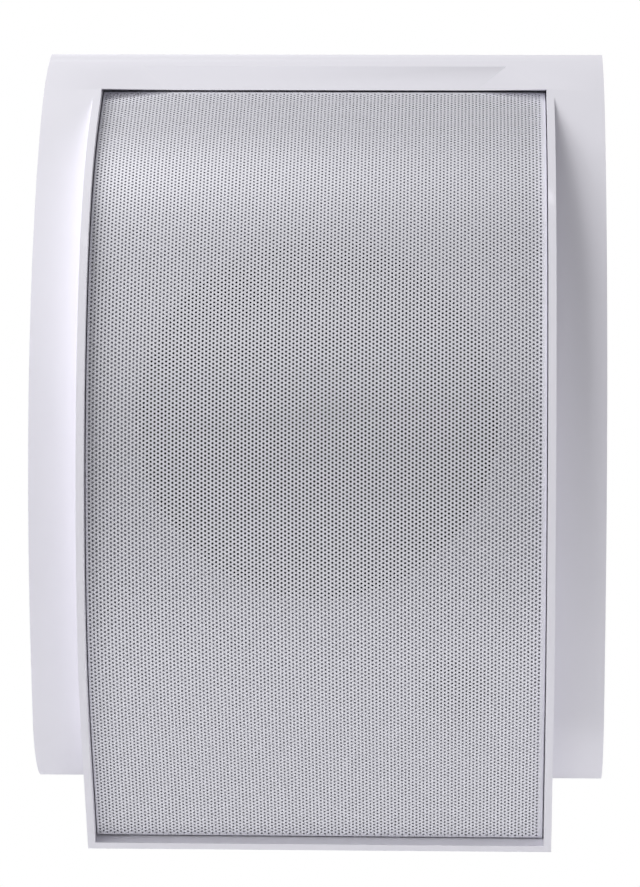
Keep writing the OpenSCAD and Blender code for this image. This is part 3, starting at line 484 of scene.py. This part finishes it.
@dataclass
class GrilleSheet:
    """The perforated steel sheet, with a real hole at each place of its 1.5 mm pattern.

    Attributes:
        bow: The curve that the sheet is bent to.
        width: Width of the sheet.
        pitch: Distance between neighbouring holes.
        hole_r: Distance from the middle of a six-sided hole to its corners.
        thickness: Thickness of the sheet.
        columns: Number of columns of holes.
        rows: Number of holes in a column.
        shift: How far the holes sit to the left of the sheet's middle.
        top_margin: How much wider the plain margin at the top is than the one at the foot.
        bend: Outer radius of the turned edge.
        lip: Depth of the turned edge.
        bend_steps: Number of facets in the turned edge's bend.
        bands: Number of pieces that the sheet is parted into.
        foot: Height of the lowest band's lower end.
        head: Height of the highest band's upper end.
        smooth: Faces that meet at less than this angle, in degrees, are shaded smooth.
    """

    bow: Bow
    width: float = 164.6
    pitch: float = 1.5
    hole_r: float = 0.465
    thickness: float = 0.8
    columns: int = 125
    rows: int = 208
    shift: float = 0.5
    top_margin: float = 0.5
    bend: float = 0.5
    lip: float = 5.8
    bend_steps: int = 4
    bands: int = 3
    foot: float = -152.0
    head: float = 128.0
    smooth: float = 25.0

    @property
    def column_step(self) -> float:
        """Distance between two columns."""
        return self.pitch * math.sqrt(3) / 2

    def build(self) -> list[bpy.types.Object]:
        """Models the sheet flat, bends it and parts it into bands.

        Returns:
            The finished pieces, from the foot up.
        """
        sheet = self._field()
        LOG.info("grille field: %d faces", len(sheet.data.polygons))
        self._margins(sheet)
        self._lips(sheet)
        self._bend(sheet)
        pieces = self._parted(sheet)
        for index, piece in enumerate(pieces):
            dress(piece, SHEET, "grille_white", "housing", *(("grille",) if index == 0 else ()))
            LOG.info("%s: %d triangles", piece.name,
                     sum(len(face.vertices) - 2 for face in piece.data.polygons))
        return pieces

    def _cell(self) -> bpy.types.Object:
        """Models one hole, its walls and its share of the web, lying flat with the front up."""
        bpy.ops.object.select_all(action="DESELECT")
        bpy.ops.mesh.primitive_circle_add(vertices=6, radius=self.hole_r * MM, fill_type="NOTHING")
        cell = bpy.context.object
        cell.name = "grille_sheet"
        apothem = self.hole_r * math.sqrt(3) / 2
        step = (self.pitch - 2 * apothem) * MM
        with editing(cell):
            bpy.ops.mesh.select_all(action="SELECT")
            bpy.ops.mesh.extrude_region_move(
                TRANSFORM_OT_translate=slide(Vector((0, 0, -self.thickness * MM))))
            for angle in (0.0, 60.0, -60.0):
                way = Vector((math.cos(math.radians(angle)), math.sin(math.radians(angle)), 0))
                middle = way * apothem * MM
                pick(cell, "EDGE",
                     lambda e: ((e.verts[0].co + e.verts[1].co) / 2 - middle).length < NEAR)
                bpy.ops.mesh.extrude_region_move(TRANSFORM_OT_translate=slide(way * step))
            for angle in (30.0, -30.0):
                turn = math.radians(angle)
                away = self.pitch / math.sqrt(3)
                centre = Vector((math.cos(turn), math.sin(turn), 0)) * away * MM
                reach = (away - self.hole_r + WELD) * MM
                pick(cell, "VERT", lambda v: (v.co - centre).length < reach)
                bpy.ops.mesh.edge_face_add()
        return cell

    def _field(self) -> bpy.types.Object:
        """Repeats the cell over the whole sheet and clears what sticks out past the last holes."""
        cell = self._cell()
        bpy.ops.object.duplicate()
        twin = bpy.context.object
        twin.location = (self.pitch / 2 * MM, self.column_step * MM, 0)
        settle(twin)
        cell.select_set(True)
        bpy.context.view_layer.objects.active = cell
        bpy.ops.object.join()
        for count, offset in (
            (self.rows, Vector((self.pitch * MM, 0, 0))),
            ((self.columns + 1) // 2, Vector((0, 2 * self.column_step * MM, 0))),
        ):
            array = cell.modifiers.new("repeat", "ARRAY")
            array.count = count
            array.use_relative_offset = False
            array.use_constant_offset = True
            array.constant_offset_displace = offset
        apply_all(cell)
        last = ((self.columns - 1) * self.column_step + self.hole_r + PAST) * MM
        with editing(cell):
            bpy.ops.mesh.select_mode(type="VERT")
            bpy.ops.mesh.select_all(action="SELECT")
            bpy.ops.mesh.remove_doubles(threshold=WELD * MM)
            pick(cell, "VERT", lambda v: v.co.y > last)
            bpy.ops.mesh.delete(type="VERT")
            pick(cell, "VERT", lambda v: v.co.z > -NEAR and not any(
                e.other_vert(v).co.z < -NEAR for e in v.link_edges))
            bpy.ops.mesh.delete(type="VERT")
        return cell

    def _outline(self) -> tuple[float, float, float, float]:
        """Edges of the flat part round the holes, in the field's own coordinates."""
        across = (self.columns - 1) * self.column_step
        side = (self.width - across) / 2 - self.bend
        up, low = Bow.length(self.bow.up), Bow.length(self.bow.low)
        along = (self.rows - 0.5) * self.pitch
        end = (up + low - along) / 2 - self.bend
        top = along + end + self.top_margin
        return -end * MM, top * MM, -(side + self.shift) * MM, (across + side - self.shift) * MM

    def _margins(self, sheet: bpy.types.Object) -> None:
        """Fills the plain margin between the outermost holes and the bends."""
        x0, x1, y0, y1 = self._outline()
        bpy.ops.object.select_all(action="DESELECT")
        bpy.ops.mesh.primitive_plane_add(size=1.0, location=((x0 + x1) / 2, (y0 + y1) / 2, 0))
        rim = bpy.context.object
        rim.scale = (x1 - x0, y1 - y0, 1.0)
        settle(rim)
        with editing(rim):
            bpy.ops.mesh.select_all(action="SELECT")
            bpy.ops.mesh.delete(type="ONLY_FACE")
            for axis, count in ((0, self.rows), (1, self.columns)):
                pick(rim, "EDGE", lambda e: abs(
                    e.verts[0].co[1 - axis] - e.verts[1].co[1 - axis]) < NEAR)
                bpy.ops.mesh.subdivide(number_cuts=count)
        only(sheet)
        rim.select_set(True)
        bpy.ops.object.join()
        with editing(sheet):
            pick(sheet, "EDGE", lambda e: len(e.link_faces) < 2
                 and e.verts[0].co.z > -NEAR and e.verts[1].co.z > -NEAR)
            bpy.ops.mesh.fill(use_beauty=True)

    def _lips(self, sheet: bpy.types.Object) -> None:
        """Turns the sheet's edges back, round a small bend."""
        x0, x1, y0, y1 = self._outline()
        centre = Vector(((x0 + x1) / 2, (y0 + y1) / 2, 0))
        half = Vector(((x1 - x0) / 2, (y1 - y0) / 2, 0))
        with editing(sheet):
            pick(sheet, "EDGE", lambda e: len(e.link_faces) == 1 and all(
                v.co.z > -NEAR and (abs(abs(v.co.x - centre.x) - half.x) < NEAR
                                    or abs(abs(v.co.y - centre.y) - half.y) < NEAR)
                for v in e.verts))
            out, down = 0.0, 0.0
            for k in range(1, self.bend_steps + 2):
                if k <= self.bend_steps:
                    turn = math.pi / 2 * k / self.bend_steps
                    to = self.bend * math.sin(turn) * MM, self.bend * (1 - math.cos(turn)) * MM
                else:
                    to = out, self.lip * MM
                bpy.ops.mesh.extrude_region_move(
                    TRANSFORM_OT_translate=slide(Vector((0, 0, down - to[1]))))
                bpy.ops.transform.resize(
                    value=((half.x + to[0]) / (half.x + out), (half.y + to[0]) / (half.y + out), 1),
                    center_override=centre)
                out, down = to

    def _bend(self, sheet: bpy.types.Object) -> None:
        """Bends the flat sheet to the bow and stands it at its place."""
        along = (self.rows - 0.5) * self.pitch
        up, low = Bow.length(self.bow.up), Bow.length(self.bow.low)
        start = (up + low - along) / 2 + self.bow.spare
        across = (self.columns - 1) * self.column_step
        sheet.location = (start * MM, (self.shift - across / 2) * MM, 0)
        settle(sheet)
        sheet.rotation_euler = (math.pi / 2, 0, 0)
        settle(sheet)
        guide = self.bow.curve()
        bend = sheet.modifiers.new("bend", "CURVE")
        bend.object = guide
        bend.deform_axis = "POS_X"
        apply_all(sheet)
        bpy.data.objects.remove(guide)
        sheet.rotation_euler = (0, -math.pi / 2, 0)
        sheet.location = (0, -self.bow.reach * MM, self.bow.height * MM)
        settle(sheet)
        with editing(sheet):
            bpy.ops.mesh.select_mode(type="FACE")
            bpy.ops.mesh.select_all(action="SELECT")
            bpy.ops.mesh.normals_make_consistent(inside=False)
            mesh = bmesh.from_edit_mesh(sheet.data)
            front = min(mesh.faces, key=lambda f: f.calc_center_median().y)
            if front.normal.y > 0:
                bpy.ops.mesh.flip_normals()
        only(sheet)
        bpy.ops.object.shade_smooth_by_angle(angle=math.radians(self.smooth))

    def _parted(self, sheet: bpy.types.Object) -> list[bpy.types.Object]:
        """Parts the sheet along its height, so that no piece is too heavy."""
        pieces = []
        for k in range(self.bands - 1):
            limit = (self.foot + (self.head - self.foot) * (k + 1) / self.bands) * MM
            before = set(bpy.data.objects)
            with editing(sheet):
                pick(sheet, "FACE", lambda f: f.calc_center_median().z < limit)
                bpy.ops.mesh.separate(type="SELECTED")
            pieces += list(set(bpy.data.objects) - before)
        pieces.append(sheet)
        for piece, name in zip(pieces, ("lower", "middle", "upper")):
            piece.name = f"grille_sheet_{name}"
        return pieces


@dataclass
class Moulding:
    """A plastic moulding whose CAD edges are rounded as a mould leaves them.

    Attributes:
        node: The CAD node that it stands for.
        finish: Its finish.
        slot: Its material slot in the record.
        wide: Radius of the outer edges that show.
        fine: Radius of all other edges.
        outer: Says which edges are the outer ones, from their middle in millimetres.
    """

    SHARP: ClassVar[float] = math.radians(15)  # an edge with less of an angle isn't rounded
    SMOOTH: ClassVar[float] = math.radians(35)  # an edge with less of an angle is shaded smooth
    STEPS: ClassVar[int] = 3  # facets of a rounded edge

    node: str
    finish: Finish
    slot: str
    wide: float
    fine: float
    outer: Callable[[Vector], bool] = field(default=lambda p: False)

    def build(self) -> bpy.types.Object:
        """Makes the piece.

        Returns:
            The finished piece.
        """
        piece = copied_node(self.node, f"{self.node}_moulding")
        self._shape(piece)
        with editing(piece):
            for width, wanted in ((self.wide, True), (self.fine, False)):
                if width <= 0:
                    continue
                pick(piece, "EDGE", lambda e: len(e.link_faces) == 2
                     and e.calc_face_angle(0) > self.SHARP
                     and self.outer((e.verts[0].co + e.verts[1].co) / 2 / MM) == wanted)
                bpy.ops.mesh.bevel(offset=width * MM, segments=self.STEPS, affect="EDGES",
                                   clamp_overlap=True)
        only(piece)
        bpy.ops.object.shade_smooth_by_angle(angle=self.SMOOTH)
        weighted = piece.modifiers.new("weighted", "WEIGHTED_NORMAL")
        weighted.weight = 100
        weighted.keep_sharp = True
        apply_all(piece)
        return dress(piece, self.finish, self.slot, "housing", self.node)

    def _shape(self, piece: bpy.types.Object) -> None:
        """Reshapes the copy before its edges are rounded; a plain moulding stays as it is."""


UNDER = 0.5  # how far the block that eases the flange reaches below its edge
LEVEL = 0.02  # how close to the ceiling the nose's edges are
BESIDE = 0.1  # how far past the nose's depths they may lie


@dataclass
class FrontMoulding(Moulding):
    """The front moulding, whose top flange ends in a soft nose just above the sheet.

    Attributes:
        half: Half the width of the recess.
        ceiling: Height of the recess's upper end.
        edge: Depth of the flange's sharp lower edge.
        nose: Depth of its lower edge once it is eased back.
        tilt: Tilt of the eased face, in degrees from upright.
        taper: Length over which the easing runs out towards each side.
        upper: Depth and height of a point higher up on the flange's face.
        rounding: Width of the rounding along the nose.
        rounding_steps: Number of facets in the rounding.
        shortest: The nose's edges are longer than this.
        block: Size in depth and height, and middle depth, of the block that eases the flange.
    """

    half: float = 82.7
    ceiling: float = 120.02
    edge: float = -38.76
    nose: float = -34.3
    tilt: float = 45.0
    taper: float = 26.0
    upper: tuple[float, float] = (-36.87, 121.6)
    rounding: float = 1.5
    rounding_steps: int = 5
    shortest: float = 5.0
    block: tuple[float, float, float] = (50.0, 16.0, -45.0)

    def _shape(self, piece: bpy.types.Object) -> None:
        """Eases the flange back to the sheet and rounds its nose."""
        deep, high, middle = self.block
        height = self.ceiling + high / 2 - UNDER
        bpy.ops.object.select_all(action="DESELECT")
        bpy.ops.mesh.primitive_cube_add(size=1.0, location=(0, middle * MM, height * MM))
        cutter = bpy.context.object
        cutter.scale = (2 * self.half * MM, deep * MM, high * MM)
        settle(cutter)
        turn = math.radians(self.tilt)
        front = Vector((0, -math.cos(turn), math.sin(turn)))
        planes = [(Vector((0, self.nose, self.ceiling)), front)]
        for side in (-1, 1):
            corner = Vector((side * self.half, self.edge, self.ceiling))
            rise = Vector((side * self.half, *self.upper)) - corner
            along = Vector((side * (self.half - self.taper), self.nose, self.ceiling)) - corner
            planes.append((corner, rise.cross(along) * side))
        for place, way in planes:
            way = way if way.y < 0 else -way
            with editing(cutter):
                bpy.ops.mesh.select_all(action="SELECT")
                bpy.ops.mesh.bisect(plane_co=place * MM, plane_no=way.normalized(), use_fill=True,
                                    clear_inner=True)
        cut = piece.modifiers.new("ease", "BOOLEAN")
        cut.operation = "DIFFERENCE"
        cut.solver = "EXACT"
        cut.object = cutter
        apply_all(piece)
        bpy.data.objects.remove(cutter)
        with editing(piece):
            LOG.info("flange nose: %d edges", pick(piece, "EDGE", self._is_nose))
            bpy.ops.mesh.bevel(offset=self.rounding * MM, segments=self.rounding_steps,
                               affect="EDGES", clamp_overlap=True)

    def _is_nose(self, edge: bmesh.types.BMEdge) -> bool:
        """Says whether an edge runs along the lower end of the flange's face."""
        a, b = (v.co / MM for v in edge.verts)
        level = all(abs(v.z - self.ceiling) < LEVEL for v in (a, b))
        within = all(self.edge - BESIDE < v.y < self.nose + BESIDE for v in (a, b))
        return level and within and abs(a.x - b.x) > self.shortest


@dataclass
class FlexingLeads:
    """The braided leads, copied from their CAD node and shaded smooth.

    Attributes:
        node: The CAD node that they stand for.
        fixed: Body of the tags; not used.
        moving: Body of the cone; not used.
        still: Length next to each end that keeps to its body; not used.
        smooth: Faces that meet at less than this angle, in degrees, are shaded smooth.
    """

    node: str = "tinsel_leads"
    fixed: str = "housing"
    moving: str = "cone_assembly"
    still: float = 3.0
    smooth: float = 50.0

    def build(self) -> bpy.types.Object:
        """Makes the piece.

        Returns:
            The finished piece.
        """
        piece = copied_node(self.node, "tinsel_leads_flexing")
        piece.data.materials.clear()
        piece.data.materials.append(COPPER.build())
        only(piece)
        bpy.ops.object.shade_smooth_by_angle(angle=math.radians(self.smooth))
        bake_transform(piece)
        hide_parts(self.node)
        return piece


@dataclass
class Studio:
    """The stage: floor, soft light, white surroundings and the photograph's camera.

    Attributes:
        lens: Focal length of the camera, on a sensor of the width below.
        sensor: Width of the camera's sensor.
        seen: Nearest and farthest distance that the camera sees, in metres.
        camera_at: Place of the camera.
        aim: Point that the camera looks at.
        roll: Turn of the camera about its view, in degrees.
        floor_at: Place of the floor's middle.
        floor_size: Side of the floor.
        floor_colour: Colour of the floor.
        floor_roughness: Roughness of the floor.
        ambient: Strength of the white light from all round.
        lamp_size: Diameter of each lamp.
        lamps_aim: Point that the lamps look at.
        distance: Distance of the lamps from it.
        lamps: Name, azimuth, elevation and power of each lamp round the object.
        table_at: Depth and height of the lamps that stand for a pale table's glow.
        table: Name, place across and power of each of them.
    """

    lens: float = 170.06
    sensor: float = 36.0
    seen: tuple[float, float] = (0.05, 20.0)
    camera_at: tuple[float, float, float] = (54.4, -1594.0, -11.6)
    aim: tuple[float, float, float] = (1.5, -102.0, -11.6)
    roll: float = 0.27
    floor_at: tuple[float, float, float] = (0.0, -600.0, -620.0)
    floor_size: float = 4000.0
    floor_colour: Colour = (0.86, 0.86, 0.87)
    floor_roughness: float = 0.9
    ambient: float = 0.1
    lamp_size: float = 1000.0
    lamps_aim: tuple[float, float, float] = (0.0, -50.0, 0.0)
    distance: float = 2200.0
    lamps: tuple[tuple[str, float, float, float], ...] = (
        ("key_high", -75.0, 62.0, 14.5), ("key_side", -75.0, 25.0, 20.8),
        ("key_front", -50.0, 25.0, 15.5), ("front", 0.0, 25.0, 2.4), ("over", -60.0, 75.0, 5.2),
        ("right_side", 85.0, 10.0, 8.3), ("rear", 160.0, 35.0, 12.0),
    )
    table_at: tuple[float, float] = (-600.0, -580.0)
    table: tuple[tuple[str, float, float], ...] = (
        ("table_left", -800.0, 2.3), ("table_right", 800.0, 4.6),
    )

    def build(self) -> None:
        """Sets the stage."""
        self._camera()
        self._world()
        self._floor()
        for name, azimuth, elevation, power in self.lamps:
            turn, rise = math.radians(azimuth), math.radians(elevation)
            level = math.cos(rise)
            way = Vector((math.sin(turn) * level, -math.cos(turn) * level, math.sin(rise)))
            self._lamp(name, Vector(self.lamps_aim) + way * self.distance, way, power)
        for name, across, power in self.table:
            self._lamp(name, Vector((across, *self.table_at)), Vector((0, 0, -1)), power)
        bpy.context.scene.view_settings.view_transform = "Standard"

    def _camera(self) -> None:
        """Sets the camera where the photograph was taken."""
        data = bpy.data.cameras.new("camera")
        data.lens = self.lens
        data.sensor_width = self.sensor
        data.clip_start, data.clip_end = self.seen
        camera = bpy.data.objects.new("camera", data)
        bpy.context.collection.objects.link(camera)
        place, aim = Vector(self.camera_at) * MM, Vector(self.aim) * MM
        ahead = (aim - place).normalized()
        level = ahead.cross(Vector((0, 0, 1))).normalized()
        upright = level.cross(ahead)
        turn = math.radians(self.roll)
        right = level * math.cos(turn) + upright * math.sin(turn)
        up = upright * math.cos(turn) - level * math.sin(turn)
        pose = Matrix((right, up, -ahead)).transposed().to_4x4()
        pose.translation = place
        camera.matrix_world = pose
        bpy.context.scene.camera = camera

    def _world(self) -> None:
        """Makes the surroundings white to the camera, with a little even light."""
        world = bpy.data.worlds.new("studio")
        world.use_nodes = True
        bpy.context.scene.world = world
        tree = world.node_tree
        light = tree.nodes["Background"]
        light.inputs["Color"].default_value = (1.0, 1.0, 1.0, 1.0)
        light.inputs["Strength"].default_value = self.ambient
        seen = tree.nodes.new("ShaderNodeBackground")
        seen.inputs["Color"].default_value = (1.0, 1.0, 1.0, 1.0)
        path = tree.nodes.new("ShaderNodeLightPath")
        mix = tree.nodes.new("ShaderNodeMixShader")
        tree.links.new(path.outputs["Is Camera Ray"], mix.inputs["Fac"])
        tree.links.new(light.outputs["Background"], mix.inputs[1])
        tree.links.new(seen.outputs["Background"], mix.inputs[2])
        tree.links.new(mix.outputs["Shader"], tree.nodes["World Output"].inputs["Surface"])

    def _floor(self) -> None:
        """Lays the plain pale floor."""
        bpy.ops.object.select_all(action="DESELECT")
        bpy.ops.mesh.primitive_plane_add(size=self.floor_size * MM,
                                         location=Vector(self.floor_at) * MM)
        floor = bpy.context.object
        floor.name = "floor"
        settle(floor)
        material = bpy.data.materials.new("pale_floor")
        material.use_nodes = True
        shader = material.node_tree.nodes["Principled BSDF"]
        shader.inputs["Base Color"].default_value = (*self.floor_colour, 1.0)
        shader.inputs["Roughness"].default_value = self.floor_roughness
        floor.data.materials.append(material)
        floor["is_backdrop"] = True

    def _lamp(self, name: str, place: Vector, back: Vector, power: float) -> None:
        """Adds one soft lamp.

        Args:
            name: Name of the lamp.
            place: Its middle.
            back: The way that its rear faces.
            power: Power in watts.
        """
        data = bpy.data.lights.new(name, "AREA")
        data.shape = "DISK"
        data.size = self.lamp_size * MM
        data.energy = power
        lamp = bpy.data.objects.new(name, data)
        bpy.context.collection.objects.link(lamp)
        lamp.location = place * MM
        lamp.rotation_euler = (-back).to_track_quat("-Z", "Y").to_euler()
        lamp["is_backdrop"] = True


def save_size(name: str, sizes: dict[str, list[list[float]]]) -> None:
    """Adds the object's present bounds to the sizes.

    Args:
        name: What the bounds are of.
        sizes: The sizes so far, which gain this one.
    """
    low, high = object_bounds()
    sizes[name] = [list(low), list(high)]


WIDE_EDGE, FINE_EDGE = 1.0, 0.4  # roundings of the mouldings' outer and other edges
FRONT_DEPTH = -20.0  # edges in front of this can be outer ones
RECESS_SIDE = 83.5  # edges farther out than this can be outer ones


def front_edge(place: Vector) -> bool:
    """Says whether an edge of the front moulding is one of its outer edges in front.

    Args:
        place: The edge's middle.

    Returns:
        True for the edges of the wings and of the frame's outer side.
    """
    return place.y < FRONT_DEPTH and abs(place.x) > RECESS_SIDE


def main() -> None:
    """Builds the looks, piece by piece."""
    logging.basicConfig(level=logging.INFO, format="%(name)s: %(message)s")
    sizes: dict[str, list[list[float]]] = {}
    save_size("cad", sizes)
    for node, obj in frame["nodes"].items():
        obj.data.materials.clear()
        obj.data.materials.append(NODE_FINISH[node].build())
    GrilleSheet(Bow()).build()
    FrontMoulding("front_shell", SHELL, "shell_white", WIDE_EDGE, FINE_EDGE, front_edge).build()
    Moulding("rear_cover", COVER, "cover_white", 0.0, FINE_EDGE).build()
    FlexingLeads().build()
    Studio().build()
    save_size("visual", sizes)


if __name__ == "__main__":
    main()
